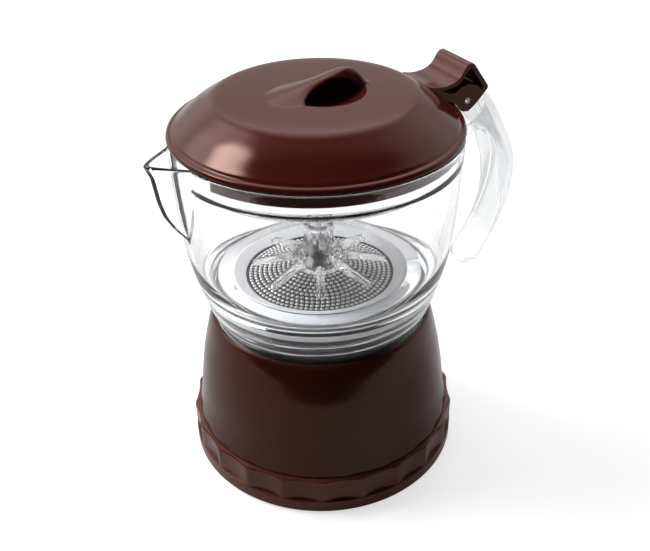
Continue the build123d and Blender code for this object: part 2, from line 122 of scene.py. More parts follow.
def light_towards(side, depth, height, edge, weakest, strongest):
    """A soft round patch of light in this direction: weakest beyond the edge, given as a cosine,
    and strongest in the middle."""
    middle = (rightward * side + away * depth + Vector((0, 0, height))).normalized()
    facing = add(tree, "ShaderNodeVectorMath", {0: view_ray, 1: middle}, operation="DOT_PRODUCT")
    patch = add(tree, "ShaderNodeMapRange",
                {"Value": facing.outputs["Value"], "From Min": edge[0], "From Max": edge[1],
                 "To Min": weakest, "To Max": strongest}, interpolation_type="SMOOTHSTEP")
    return patch.outputs[0]


patches = (light_towards(0.0, 1.0, 0.0, (-0.12, 0.30), 0.06, 0.66),          # the wall behind
           light_towards(0.0, 0.62, 0.78, (0.86, 1.0), 0.0, 1.45),          # the soft box above the wall
           light_towards(0.74, 0.40, 0.54, (0.86, 1.0), 0.0, 0.55),
           light_towards(-0.60, 0.65, 0.45, (0.86, 1.0), 0.0, 0.55),
           light_towards(-0.72, 0.30, 0.62, (0.90, 1.0), 0.0, 3.0),         # the lamp's own halo
           light_towards(-0.66, 0.15, 0.74, (0.968, 0.998), 0.0, 17.0))     # the small lamp
level = patches[0]
for patch in patches[1:]:
    level = add(tree, "ShaderNodeMath", {0: level, 1: patch}, operation="ADD").outputs[0]
to_camera = add(tree, "ShaderNodeLightPath").outputs["Is Camera Ray"]
level = add(tree, "ShaderNodeMath", {0: level, 1: to_camera}, operation="MAXIMUM")
sky = add(tree, "ShaderNodeBackground", {"Color": (1, 1, 1, 1), "Strength": level.outputs[0]})
add(tree, "ShaderNodeOutputWorld", {"Surface": sky.outputs[0]})


# Grip ring
# The ring that closes the foot of the base, moulded in the same brown plastic. A plain round
# flange stands on the table, and 22 shallow scallops above it give the hand a hold. It is
# pressed on the body's spigot.

MM = 0.001


def mesh_piece(name, points, faces):
    """A mesh object at the origin from points in millimetres, doubles merged, faces outwards."""
    mesh = bpy.data.meshes.new(name)
    mesh.from_pydata([tuple(c * MM for c in p) for p in points], [], faces)
    bm = bmesh.new()
    bm.from_mesh(mesh)
    bmesh.ops.remove_doubles(bm, verts=bm.verts, dist=2e-6)
    bmesh.ops.dissolve_degenerate(bm, edges=bm.edges, dist=1e-7)
    bmesh.ops.recalc_face_normals(bm, faces=bm.faces)
    bm.to_mesh(mesh)
    bm.free()
    mesh.polygons.foreach_set("use_smooth", [True] * len(mesh.polygons))
    obj = bpy.data.objects.new(name, mesh)
    bpy.context.collection.objects.link(obj)
    return obj


def skin(name, rows, around=True):
    """A mesh piece from rows of points, the last row joined to the first. around closes each row."""
    rows = np.asarray(rows, float)
    count, width = rows.shape[:2]
    faces = []
    for i in range(count):
        for j in range(width if around else width - 1):
            a, b = i * width + j, i * width + (j + 1) % width
            c, d = ((i + 1) % count) * width + (j + 1) % width, ((i + 1) % count) * width + j
            faces.append((a, b, c, d))
    return mesh_piece(name, rows.reshape(-1, 3), faces)


def baked(obj):
    """The object with its modifiers worked into its mesh."""
    graph = bpy.context.evaluated_depsgraph_get()
    obj.data = bpy.data.meshes.new_from_object(obj.evaluated_get(graph))
    obj.modifiers.clear()
    return obj


def softened(obj, radius, angle=28, segments=2):
    """Rounds the edges sharper than the angle, as a mould leaves them."""
    bevel = obj.modifiers.new("rounding", "BEVEL")
    bevel.width = radius * MM
    bevel.segments = segments
    bevel.limit_method = "ANGLE"
    bevel.angle_limit = radians(angle)
    bevel.miter_outer = "MITER_ARC"
    even = obj.modifiers.new("shading", "WEIGHTED_NORMAL")
    even.keep_sharp = False
    return baked(obj)


def ring_tree():
    """Geometry Nodes that repeat the object's own mesh evenly round Z and merge the copies."""
    tree = bpy.data.node_groups.new("repeat_round_axis", "GeometryNodeTree")
    tree.interface.new_socket("Piece", in_out="INPUT", socket_type="NodeSocketGeometry")
    count = tree.interface.new_socket("Count", in_out="INPUT", socket_type="NodeSocketInt")
    start = tree.interface.new_socket("Start Angle", in_out="INPUT", socket_type="NodeSocketFloat")
    finish = tree.interface.new_socket("Finish", in_out="INPUT", socket_type="NodeSocketMaterial")
    tree.interface.new_socket("Ring", in_out="OUTPUT", socket_type="NodeSocketGeometry")
    given = add(tree, "NodeGroupInput")
    stops = add(tree, "GeometryNodeMeshLine", {"Count": given.outputs["Count"], "Offset": (0, 0, 0)})
    index = add(tree, "GeometryNodeInputIndex")
    part = add(tree, "ShaderNodeMath", {0: index.outputs[0], 1: given.outputs["Count"]}, operation="DIVIDE")
    turn = add(tree, "ShaderNodeMath", {0: part.outputs[0], 1: 2 * pi, 2: given.outputs["Start Angle"]},
               operation="MULTIPLY_ADD")
    angle = add(tree, "ShaderNodeCombineXYZ", {"Z": turn.outputs[0]})
    copies = add(tree, "GeometryNodeInstanceOnPoints", {"Points": stops.outputs[0],
                                                        "Instance": given.outputs["Piece"],
                                                        "Rotation": angle.outputs[0]})
    real = add(tree, "GeometryNodeRealizeInstances", {0: copies.outputs[0]})
    whole = add(tree, "GeometryNodeMergeByDistance", {"Geometry": real.outputs[0], "Distance": 3e-6})
    dressed = add(tree, "GeometryNodeSetMaterial", {"Geometry": whole.outputs[0],
                                                    "Material": given.outputs["Finish"]})
    add(tree, "NodeGroupOutput", {0: dressed.outputs[0]})
    return tree, count.identifier, start.identifier, finish.identifier


round_axis, round_count, round_start, round_finish = ring_tree()


def repeated(obj, count, start, finish):
    """The object repeated round Z by the tree above, as one plain mesh."""
    repeat = obj.modifiers.new("repeat", "NODES")
    repeat.node_group = round_axis
    repeat[round_count] = count
    repeat[round_start] = start
    repeat[round_finish] = finish
    return baked(obj)


def new_material(name):
    """An empty material with its tree, its Object coordinates and a Principled shader."""
    material = bpy.data.materials.new(name)
    material.use_nodes = True
    tree = material.node_tree
    tree.nodes.clear()
    coords = add(tree, "ShaderNodeTexCoord").outputs["Object"]
    shader = add(tree, "ShaderNodeBsdfPrincipled")
    add(tree, "ShaderNodeOutputMaterial", {"Surface": shader.outputs[0]})
    return material, tree, coords, shader


def glossy_brown(name, light, dark, polish, ripple, gloss=0.42):
    """Injection-moulded ABS from a polished mould: glossy, deep brown, with the faint orange
    peel of a thick wall and hair-fine wiping marks that only show in the highlights. polish is
    its roughness where it is cleanest, ripple how strong the peel is."""
    material, tree, coords, shader = new_material(name)
    # Pigment never spreads quite evenly: clouds about 30 mm across.
    cloud = add(tree, "ShaderNodeTexNoise",
                {"Vector": coords, "Scale": 33.0, "Detail": 3.0, "Roughness": 0.5})
    colour = add(tree, "ShaderNodeMix",
                 {"Factor": cloud.outputs["Fac"], "A": linear(dark), "B": linear(light)}, data_type="RGBA")
    tree.links.new(colour.outputs["Result"], shader.inputs["Base Color"])
    # Wiping marks: drawn out one way, about 0.4 mm apart, seen as a little less polish.
    drawn_out = add(tree, "ShaderNodeMapping",
                    {"Vector": coords, "Scale": (1.0, 1.0, 9.0), "Rotation": (0.3, 0.5, 0.2)})
    marks = add(tree, "ShaderNodeTexNoise",
                {"Vector": drawn_out.outputs[0], "Scale": 260.0, "Detail": 4.0, "Roughness": 0.6})
    dulled = add(tree, "ShaderNodeMapRange",
                 {"Value": marks.outputs["Fac"], "From Min": 0.35, "From Max": 0.8,
                  "To Min": polish, "To Max": polish + 0.07})
    tree.links.new(dulled.outputs[0], shader.inputs["Roughness"])
    # Orange peel: waves about 4 mm long and a few thousandths of a millimetre high.
    peel = add(tree, "ShaderNodeTexNoise", {"Vector": coords, "Scale": 250.0, "Detail": 1.0})
    bump = add(tree, "ShaderNodeBump",
               {"Height": peel.outputs["Fac"], "Strength": ripple, "Distance": 0.0001})
    tree.links.new(bump.outputs[0], shader.inputs["Normal"])
    shader.inputs["IOR"].default_value = 1.5
    shader.inputs["Specular IOR Level"].default_value = gloss
    shader.inputs["Specular Tint"].default_value = linear("ffcab6")
    return material


def fit(obj, material, body, slot, *nodes):
    """Gives the piece its finish and its body, and hides the CAD nodes it stands for."""
    obj.data.materials.clear()
    obj.data.materials.append(material)
    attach(obj, body)
    if nodes:
        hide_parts(*nodes)
    return obj


base_brown = glossy_brown("polished_brown_abs_base", "3f130c", "360f09", 0.10, 0.05, 0.38)
ring_brown = glossy_brown("satin_brown_abs_ring", "5a2c26", "502621", 0.19, 0.08)

scallop_count = 22
scallop_turn = radians(4.9)       # from the handle to the nearest hollow
scallop_radius = 45.10
scallop_centre = 103.75
ring_crest = 59.8
half_step = pi / scallop_count


def scallop(azimuth):
    """Radius of the hollow at this angle from its deepest line."""
    across = scallop_centre * sin(azimuth)
    return min(ring_crest, scallop_centre * cos(azimuth) - sqrt(scallop_radius ** 2 - across ** 2))


edge = half_step * 0.957          # where the hollow meets the ridge
angles = [-half_step, *np.linspace(-edge, edge, 17), half_step]
plain = [(56.4, 17.8), (56.4, 2.2), (52.0, 2.2), (52.0, 0.0), (58.9, 0.0), (59.55, 0.45), (60.0, 1.2),
         (60.0, 6.2), (59.75, 6.4)]
rows = [[(r * cos(a), r * sin(a), z) for a in angles] for r, z in plain]
rows += [[((scallop(a) - drop) * cos(a), (scallop(a) - drop) * sin(a), z) for a in angles]
         for drop, z in ((0.0, 6.4), (0.0, 17.1), (0.6, 17.8))]
ring = skin("grip_ring", rows, around=False)
ring = softened(repeated(ring, scallop_count, scallop_turn, ring_brown), 0.22)
fit(ring, ring_brown, "base", "brown_plastic", "base_ring")


# Bottom plate
# A flat disc under the base that carries the tank on two round ribs. The same brown plastic,
# left matt by a spark-eroded mould, and only seen from below.

def matt_brown(name):
    """Moulded ABS from a spark-eroded mould: an even fine grain, no gloss."""
    material, tree, coords, shader = new_material(name)
    # The grain is about 0.3 mm; finer than that it wouldn't show.
    grain = add(tree, "ShaderNodeTexNoise", {"Vector": coords, "Scale": 3200.0, "Detail": 2.0})
    colour = add(tree, "ShaderNodeMix",
                 {"Factor": grain.outputs["Fac"], "A": linear("32100b"), "B": linear("411810")},
                 data_type="RGBA")
    tree.links.new(colour.outputs["Result"], shader.inputs["Base Color"])
    bump = add(tree, "ShaderNodeBump",
               {"Height": grain.outputs["Fac"], "Strength": 0.4, "Distance": 0.0001})
    tree.links.new(bump.outputs[0], shader.inputs["Normal"])
    shader.inputs["Roughness"].default_value = 0.55
    return material


def refinish(node, material):
    """Gives a CAD node that keeps its own shape its material."""
    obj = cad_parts[node]
    obj.data.materials.clear()
    obj.data.materials.append(material)


refinish("bottom_plate", matt_brown("eroded_brown_abs_plate"))


# Body of the base
# The tapered brown body, moulded in glossy ABS with a thin wall and a thicker mouth at the
# top. Its spigot goes down into the grip ring.

def through(points, step):
    """Points about a step apart on one smooth curve through the given points."""
    p = np.array(points, float)
    t = np.concatenate([[0.0], np.cumsum(np.linalg.norm(np.diff(p, axis=0), axis=1))])
    n, h = len(t), np.diff(t)
    system, right = np.eye(n), np.zeros_like(p)
    for i in range(1, n - 1):
        system[i, i - 1:i + 2] = h[i - 1], 2 * (h[i - 1] + h[i]), h[i]
        right[i] = 6 * ((p[i + 1] - p[i]) / h[i] - (p[i] - p[i - 1]) / h[i - 1])
    bend = np.linalg.solve(system, right)
    u = np.linspace(0, t[-1], max(2, round(t[-1] / step) + 1))
    k = np.clip(np.searchsorted(t, u, side="right") - 1, 0, n - 2)
    a, b = (t[k + 1] - u)[:, None], (u - t[k])[:, None]
    w = h[k][:, None]
    curve = (bend[k] * a ** 3 + bend[k + 1] * b ** 3) / (6 * w)
    curve += (p[k] / w - bend[k] * w / 6) * a + (p[k + 1] / w - bend[k + 1] * w / 6) * b
    return [tuple(v) for v in curve]


def rounded(points, radius, sharpest=24, steps=4):
    """A closed outline with its corners rounded to the radius, or less where an edge is short."""
    p = [np.array(v, float) for v in points]
    result = []
    for i, corner in enumerate(p):
        before, after = p[i - 1] - corner, p[(i + 1) % len(p)] - corner
        la, lb = np.linalg.norm(before), np.linalg.norm(after)
        if la < 1e-6:
            continue
        before, after = before / la, after / lb
        inner = np.arccos(np.clip(before @ after, -1, 1))
        if pi - inner < radians(sharpest):
            result.append(tuple(corner))
            continue
        back = min(radius / tan(inner / 2), 0.45 * la, 0.45 * lb)
        start, end = corner + before * back, corner + after * back
        for s in np.linspace(0, 1, steps + 1):
            result.append(tuple((1 - s) ** 2 * start + 2 * s * (1 - s) * corner + s ** 2 * end))
    return result


def turned(name, outline, steps=240):
    """A closed outline of (radius, height) turned round Z."""
    turns = [2 * pi * i / steps for i in range(steps)]
    rows = [[(max(r, 0.0) * cos(a), max(r, 0.0) * sin(a), z) for a in turns] for r, z in outline]
    obj = skin(name, rows)
    even = obj.modifiers.new("shading", "WEIGHTED_NORMAL")
    even.keep_sharp = False
    return baked(obj)


outside = through([(57.4, 18.1), (55.6, 28), (54.6, 36), (53.4, 44), (51.9, 52), (50.0, 60),
                   (48.2, 66.6), (47.6, 68.2)], 2.0)
mouth = [(46.8, 69.0), (46.3, 69.0), (45.9, 68.6), (45.9, 65.2)]
inside = through([(46.9, 65.2), (47.8, 60), (49.7, 52), (51.2, 44), (52.4, 36), (53.4, 28),
                  (54.2, 20)], 4.0)
spigot = [(53.9, 17), (53.9, 4.4), (56.1, 4.4), (56.1, 18.1)]
shell = turned("base_body", rounded(outside + mouth + inside + spigot, 0.35))
fit(shell, base_brown, "base", "brown_plastic", "outer_shell")


# Water tank and its seal
# A clear vessel inside the body. Its collar stands out of the body's mouth and carries the
# screw thread. A thin silicone ring lies on its shoulder.

def lets_light_through(tree, shader, tint, body):
    """Puts a plain see-through film in for rays from lamps, so that what is behind the plastic is
    lit, and in part for the other rays, as much as the body is thin."""
    path = add(tree, "ShaderNodeLightPath")
    film = add(tree, "ShaderNodeBsdfTransparent", {"Color": linear(tint)})
    share = add(tree, "ShaderNodeMath", {0: path.outputs["Is Shadow Ray"], 1: 1.0 - body},
                operation="MAXIMUM")
    mix = add(tree, "ShaderNodeMixShader", {0: share.outputs[0], 1: shader.outputs[0], 2: film.outputs[0]})
    output = next(n for n in tree.nodes if n.type == "OUTPUT_MATERIAL")
    tree.links.new(mix.outputs[0], output.inputs["Surface"])


def clear_plastic(name, tint, ior, haze, flow, body=1.0):
    """Clear moulded styrene: water-white, mirror-smooth, with the slow waves that the melt leaves
    as it flows round the mould, and a trace of haze where hands and cloths have been. A body
    below 1 lets that much less of it bend the light, as in a thin wall."""
    material, tree, coords, shader = new_material(name)
    # Flow waves about 12 mm long, drawn out upwards.
    drawn_out = add(tree, "ShaderNodeMapping", {"Vector": coords, "Scale": (1.0, 1.0, 0.35)})
    waves = add(tree, "ShaderNodeTexNoise",
                {"Vector": drawn_out.outputs[0], "Scale": 85.0, "Detail": 1.0})
    bump = add(tree, "ShaderNodeBump",
               {"Height": waves.outputs["Fac"], "Strength": flow, "Distance": 0.0004})
    tree.links.new(bump.outputs[0], shader.inputs["Normal"])
    # Touch marks: patches about 17 mm across, a little less clear.
    touched = add(tree, "ShaderNodeTexNoise", {"Vector": coords, "Scale": 60.0, "Detail": 5.0})
    dulled = add(tree, "ShaderNodeMapRange",
                 {"Value": touched.outputs["Fac"], "From Min": 0.4, "From Max": 0.8,
                  "To Min": haze, "To Max": haze + 0.03})
    tree.links.new(dulled.outputs[0], shader.inputs["Roughness"])
    shader.inputs["Base Color"].default_value = linear(tint)
    shader.inputs["Transmission Weight"].default_value = 1.0
    shader.inputs["IOR"].default_value = ior
    lets_light_through(tree, shader, tint, body)
    return material


thread_pitch = 4.0
tooth_half = 1.15                 # half the tooth's width at its root
tooth_flank = 0.5                 # the part of that which its rounded flank takes
tooth_fade = 0.1                  # turns over which it fades in and out


def tooth(depth, start, turns, height, azimuth):
    """How far a screw tooth stands out at this height and azimuth: a rounded ridge that climbs
    one pitch a turn from the start."""
    best = 0.0
    for lap in range(int(turns) + 2):
        travelled = azimuth / (2 * pi) + lap
        if 0 <= travelled <= turns:
            off = abs(height - (start + thread_pitch * travelled))
            ends = min(1.0, travelled / tooth_fade, (turns - travelled) / tooth_fade)
            shape = min(1.0, max(0.0, (tooth_half - off) / tooth_flank))
            best = max(best, depth * shape * shape * (3 - 2 * shape) * ends)
    return best


clear_tank = clear_plastic("clear_styrene_tank", "eef0f3", 1.49, 0.0, 0.05)
collar_radius = 42.2
tank_outside = through([(44, 8.4), (48.4, 12.4), (50.0, 20), (49.6, 32), (48.6, 44), (47.0, 54),
                        (45.6, 61)], 4.0)
shoulder = [(46.3, 62.2), (46.5, 62.6), (46.5, 64.0), (43.6, 64.0), (collar_radius, 65.2)]
collar = [(collar_radius, z) for z in np.arange(65.6, 79.6, 0.35)]
collar_top = [(collar_radius, 79.6), (42.0, 79.8), (40.2, 79.8), (40.0, 79.6)]
tank_inside = through([(40.0, 65.0), (43.2, 60), (44.8, 54), (46.4, 44), (47.4, 32), (47.8, 20),
                       (46.4, 14), (43, 10.6)], 4.0)
rows = []
for r, z in ([(0.0, 8.4)] + tank_outside + shoulder + collar + collar_top + tank_inside + [(0.0, 10.6)]):
    row = []
    for a in (2 * pi * i / 240 for i in range(240)):
        on_collar = abs(r - collar_radius) < 1e-6 and 65.4 < z < 79.5
        radius = r + (tooth(1.15, 69.0, 2.25, z, a) if on_collar else 0)
        row.append((radius * cos(a), radius * sin(a), z))
    rows.append(row)
tank = skin("water_tank_clear", rows)
fit(tank, clear_tank, "base", "clear_tank", "water_tank")


def silicone(name, base, shade):
    """Moulded silicone rubber: milky, a little see-through at thin edges, satin, with the fine
    bloom of dust that rubber always holds."""
    material, tree, coords, shader = new_material(name)
    bloom = add(tree, "ShaderNodeTexNoise", {"Vector": coords, "Scale": 700.0, "Detail": 4.0})
    colour = add(tree, "ShaderNodeMix",
                 {"Factor": bloom.outputs["Fac"], "A": linear(shade), "B": linear(base)}, data_type="RGBA")
    tree.links.new(colour.outputs["Result"], shader.inputs["Base Color"])
    bump = add(tree, "ShaderNodeBump",
               {"Height": bloom.outputs["Fac"], "Strength": 0.08, "Distance": 0.0001})
    tree.links.new(bump.outputs[0], shader.inputs["Normal"])
    shader.inputs["Roughness"].default_value = 0.38
    shader.inputs["IOR"].default_value = 1.41
    shader.inputs["Subsurface Weight"].default_value = 0.10
    shader.inputs["Subsurface Radius"].default_value = (0.004, 0.004, 0.004)
    shader.inputs["Subsurface Scale"].default_value = 1.0
    return material


milky = silicone("milky_silicone_gasket", "fafbfd", "f2f4f7")
refinish("shell_seal", milky)


# Coffee funnel and its screen
# The basket for the ground coffee, moulded in polypropylene, hangs by its flange in
# the tank's collar. Its near-black colour is painted shade, the dark seen between the collar's
# threads. A perforated steel disc lies on the step inside it.

def shade_dark_polypropylene(name, base, shade):
    """Moulded polypropylene made near-black as painted shade: waxy, a little cloudy, satin."""
    material, tree, coords, shader = new_material(name)
    # Clouds of wax about 11 mm across, and a mould grain of 0.4 mm.
    wax = add(tree, "ShaderNodeTexNoise", {"Vector": coords, "Scale": 90.0, "Detail": 4.0})
    colour = add(tree, "ShaderNodeMix",
                 {"Factor": wax.outputs["Fac"], "A": linear(shade), "B": linear(base)}, data_type="RGBA")
    tree.links.new(colour.outputs["Result"], shader.inputs["Base Color"])
    grain = add(tree, "ShaderNodeTexNoise", {"Vector": coords, "Scale": 2500.0, "Detail": 2.0})
    bump = add(tree, "ShaderNodeBump",
               {"Height": grain.outputs["Fac"], "Strength": 0.1, "Distance": 0.0001})
    tree.links.new(bump.outputs[0], shader.inputs["Normal"])
    shader.inputs["Roughness"].default_value = 0.42
    shader.inputs["Subsurface Weight"].default_value = 0.2
    shader.inputs["Subsurface Radius"].default_value = (0.003, 0.003, 0.003)
    return material


def steel(name, bright, dark, roughness):
    """Rolled stainless steel sheet: fine rolling lines about 0.2 mm apart, a soft sheen."""
    material, tree, coords, shader = new_material(name)
    lines = add(tree, "ShaderNodeMapping", {"Vector": coords, "Scale": (1.0, 24.0, 1.0)})
    rolled = add(tree, "ShaderNodeTexNoise",
                 {"Vector": lines.outputs[0], "Scale": 220.0, "Detail": 3.0})
    colour = add(tree, "ShaderNodeMix",
                 {"Factor": rolled.outputs["Fac"], "A": linear(dark), "B": linear(bright)},
                 data_type="RGBA")
    tree.links.new(colour.outputs["Result"], shader.inputs["Base Color"])
    sheen = add(tree, "ShaderNodeMapRange",
                {"Value": rolled.outputs["Fac"], "To Min": roughness - 0.05, "To Max": roughness + 0.1})
    tree.links.new(sheen.outputs[0], shader.inputs["Roughness"])
    shader.inputs["Metallic"].default_value = 1.0
    return material


# The funnel's near-black colour is painted shade for the dark inside the clear collar.
refinish("coffee_funnel", shade_dark_polypropylene("polypropylene_funnel_painted_shade", "23201f", "1b1817"))
refinish("funnel_screen", steel("rolled_steel_screen", "c8c8c6", "a2a2a0", 0.3))


# Filter gasket
# A milky silicone ring. Its flat part is under the jug's floor, and its lip comes up through
# the floor's opening and holds the rim of the filter disc in a groove.

gasket = turned("filter_gasket_ring", rounded(
    [(31.6, 81.9), (43.2, 81.9), (43.2, 84.9), (37.2, 84.9), (37.2, 87.2), (36.6, 87.5),
     (31.6, 85.3), (31.6, 84.75), (33.6, 84.75), (33.6, 84.1), (31.6, 84.1)], 0.35))
fit(gasket, milky, "filter_pack", "silicone", "filter_gasket")


# Filter disc
# Thin stainless sheet pressed to a shallow cone and covered with round bosses in circular
# rows, each pierced round its foot. The sheet is solid here and coloured near-black, painted
# shade for what shows through the piercings, and the domes are a brighter steel than the
# screen's, a painted highlight.

# Painted shade and highlight: a near-black steel for the sheet, a brightened steel for the bosses.
painted_shade_steel = steel("steel_sheet_painted_shade", "2c2c2b", "1a1a19", 0.45)
painted_highlight_steel = steel("steel_painted_highlight", "fbfbfa", "e8e8e6", 0.30)
sheet = turned("filter_disc_sheet", rounded(
    [(5.2, 88.4), (9.5, 88.4), (30.8, 84.15), (33.4, 84.15), (33.4, 84.65), (30.8, 84.65), (9.5, 88.9),
     (5.2, 88.9)], 0.15))
fit(sheet, painted_shade_steel, "filter_pack", "steel_mesh", "filter_disc")


def joined(name, objects):
    """The objects' meshes as one mesh, and the objects dropped."""
    whole = bmesh.new()
    for obj in objects:
        whole.from_mesh(obj.data)
        bpy.data.objects.remove(obj)
    mesh = bpy.data.meshes.new(name)
    whole.to_mesh(mesh)
    whole.free()
    mesh.polygons.foreach_set("use_smooth", [True] * len(mesh.polygons))
    obj = bpy.data.objects.new(name, mesh)
    bpy.context.collection.objects.link(obj)
    return obj


boss_pitch = 2.1
boss_radius = 0.84
boss_height = 0.5
boss_sides = 10
boss_turns = np.linspace(0, 2 * pi, boss_sides + 1)[:-1]
rings = []
for radius in np.arange(7.2, 30.4, boss_pitch * 0.97):
    height = np.interp(radius, (9.5, 30.8), (88.85, 84.6))
    levels = [(boss_radius * cos(t), height + boss_height * sin(t)) for t in (-0.5, 0.1, 0.55, 1.0)]
    points = [(radius + r * cos(a), r * sin(a), z) for r, z in levels for a in boss_turns]
    faces = []
    for start in range(0, (len(levels) - 1) * boss_sides, boss_sides):
        for j in range(boss_sides):
            a, b = start + j, start + (j + 1) % boss_sides
            faces.append((a, b, b + boss_sides, a + boss_sides))
    faces += [tuple(range(boss_sides - 1, -1, -1)), tuple(range(len(points) - boss_sides, len(points)))]
    boss = mesh_piece("boss", points, faces)
    rings.append(repeated(boss, round(2 * pi * radius / boss_pitch), radius, painted_highlight_steel))
bosses = joined("filter_disc_bosses", rings)
fit(bosses, painted_highlight_steel, "filter_pack", "steel_mesh")


# Outlet column
# The coffee rises through this clear tube and spills from the windows near its top. Eight
# thin grooved arms press the filter disc down. One clear moulding, held by a steel clip.

def combined(obj, tool, operation):
    """Joins, cuts or keeps the common part of two closed meshes, and drops the tool."""
    step = obj.modifiers.new("combine", "BOOLEAN")
    step.operation = operation
    step.solver = "MANIFOLD"
    step.object = tool
    baked(obj)
    bpy.data.objects.remove(tool)
    return obj


def between(name, first, second):
    """A closed mesh piece between two outlines with as many points each."""
    count = len(first)
    faces = [tuple(range(count)), tuple(range(2 * count - 1, count - 1, -1))]
    faces += [(i, (i + 1) % count, count + (i + 1) % count, count + i) for i in range(count)]
    return mesh_piece(name, first + second, faces)


def plate(name, outline, low, high, radius=0.0):
    """A closed (x, z) outline made into a plate between two y values, its edges rounded."""
    obj = between(name, [(x, low, z) for x, z in outline], [(x, high, z) for x, z in outline])
    return softened(obj, radius, 40, 3) if radius else obj


def rod(name, radius, low, high, x, z, steps=48):
    """A closed round bar along Y."""
    turns = [2 * pi * i / steps for i in range(steps)]
    return plate(name, [(x + radius * cos(a), z + radius * sin(a)) for a in turns], low, high)


arm_count = 8
arm_start = radians(19)           # from the handle to the first arm
arm = plate("arm", rounded([(7.0, 96.2), (7.0, 92.4), (28.3, 89.0), (28.3, 91.0)], 0.5),
            -1.7, 1.7, 0.35)
arm = repeated(arm, arm_count, arm_start, None)
column = turned("outlet_column_clear", rounded(
    [(3.7, 86.8), (5.0, 86.8), (5.0, 88.95), (10.3, 88.95), (10.3, 95.0)]
    + through([(10.3, 95.0), (9.4, 97.6), (6.9, 99.4), (6.3, 101.5)], 0.8)[1:]
    + [(6.3, 108.9), (5.7, 109.5), (0.0, 109.5), (0.0, 107.9), (3.7, 107.9)], 0.3), 96)
column = combined(column, arm, "UNION")
groove = plate("groove", [(11.0, 94.0), (11.0, 91.0), (27.3, 88.0), (27.3, 90.0)], -0.8, 0.8)
column = combined(column, repeated(groove, arm_count, arm_start, None), "DIFFERENCE")
window = plate("window", [(1.0, 101.0), (1.0, 107.0), (9.0, 107.0), (9.0, 101.0)], -1.2, 1.2)
column = combined(column, repeated(window, 4, arm_start + pi / 8, None), "DIFFERENCE")
clear_column = clear_plastic("clear_styrene_column", "fdfdfd", 1.42, 0.0, 0.02, 0.85)
fit(column, clear_column, "filter_pack", "clear_part", "outlet_column")
# The clip takes the bosses' brightened steel, a painted highlight.
refinish("hub_clip", painted_highlight_steel)


# Jug
# One clear styrene moulding: a thin belly on a threaded neck, a floor with a large opening,
# a pinched spout, an open channel for a handle and a lug for the lid's hinge.

bore_radius = 43.8
jug_outside = through([(45.6, 69.4), (47.3, 73.2), (49.2, 78.6), (51.0, 85), (52.9, 92), (54.6, 100),
                       (55.7, 108), (56.4, 117), (57.0, 130), (57.5, 141), (57.7, 149.7)], 1.5)
jug_inside = through([(54.9, 141.2), (54.6, 130), (54.1, 117), (53.4, 108), (52.2, 100), (50.3, 93.4),
                      (48.6, 90.0), (45.8, 88.0)], 1.7)
seat_for_skirt = [(55.9, z) for z in np.arange(149.0, 142.4, -1.4)] + [(55.9, 142.2), (55.7, 141.85)]
floor = [(41.6, 88.0), (37.8, 88.0), (37.5, 87.8), (37.4, 87.4), (37.4, 85.5), (37.6, 85.1),
         (bore_radius, 85.1)]
bore = [(bore_radius, z) for z in np.arange(84.8, 67.2, -0.4)] + [(bore_radius, 67.0), (45.0, 67.0)]
# Every point of the outline is (radius, height, side), side 1 on the outside and 0 on the inside.
outline = [(r, z, 1.0) for r, z in jug_outside]
outline += [(57.55, 150.15, 0.93), (57.15, 150.45, 0.75), (56.5, 150.5, 0.4), (56.05, 150.35, 0.12),
            (55.9, 150.0, 0.0)]
outline += [(r, z, 0.0) for r, z in seat_for_skirt + jug_inside + floor + bore]
outline += [(45.2, 67.3, 1.0)]

# The spout's V at these heights: how far it reaches from the axis and its half width there.
spout_heights = (110.0, 115.0, 122.0, 128.5, 135.0, 145.0, 150.5)
spout_reaches = (50.0, 55.8, 61.2, 64.7, 66.3, 67.5, 69.6)
spout_halves = (1.5, 3.0, 8.0, 11.0, 13.0, 14.5, 15.5)
tip_round = 0.030                 # sine of the angle over which the spout's tip is round


def spout(height, off, inset):
    """Radius of the spout's V at this height and angle off -X, drawn in by the wall."""
    reach = np.interp(height, spout_heights, spout_reaches) - 1.15 * inset
    half = max(1.0, np.interp(height, spout_heights, spout_halves) - inset)
    slope = (reach - spout_reaches[0]) / half
    if slope <= 0 or cos(off) <= 0.2:
        return 0.0
    return reach * (1 + slope * tip_round) / (cos(off) + slope * sqrt(sin(off) ** 2 + tip_round ** 2))


def larger(a, b, soft):
    """The larger of two lengths or two fields, with a soft change over."""
    mix = np.maximum(soft - np.abs(a - b), 0) / soft
    return np.maximum(a, b) + mix * mix * soft / 4


def wall_radius(radius, height, side, off):
    """Radius of the jug's wall: round, or the spout where that stands further out. The spout is
    solid at its foot and has a wall of 2 mm above that."""
    if height < spout_heights[0] or abs(off) > radians(40):
        return radius
    outer = larger(radius, spout(height, off, 0.0), 0.8)
    inner = larger(radius, spout(height, off, 2.0) if height > 117.0 else 0.0, 0.8)
    return inner + (outer - inner) * side


# Angles off the spout, closest together at its tip.
near_spout = np.radians(np.concatenate([np.linspace(-26, -4, 34, endpoint=False),
                                        np.linspace(-4, 4, 21), np.linspace(4, 26, 35)[1:]]))
round_rest = np.radians(np.linspace(26, 334, 236)[1:-1])
offs = np.concatenate([near_spout, round_rest])
rows = []
for r, z, side in outline:
    row = []
    for off in offs:
        turn = off if off < pi else off - 2 * pi
        azimuth = (pi + off) % (2 * pi)
        radius = wall_radius(r, z, side, turn)
        if abs(r - bore_radius) < 1e-6 and 67.2 < z < 85.0:
            radius -= tooth(1.1, 71.0, 1.9, z, azimuth)
        row.append((radius * cos(azimuth), radius * sin(azimuth), z))
    rows.append(row)
jug = skin("jug_clear", rows)

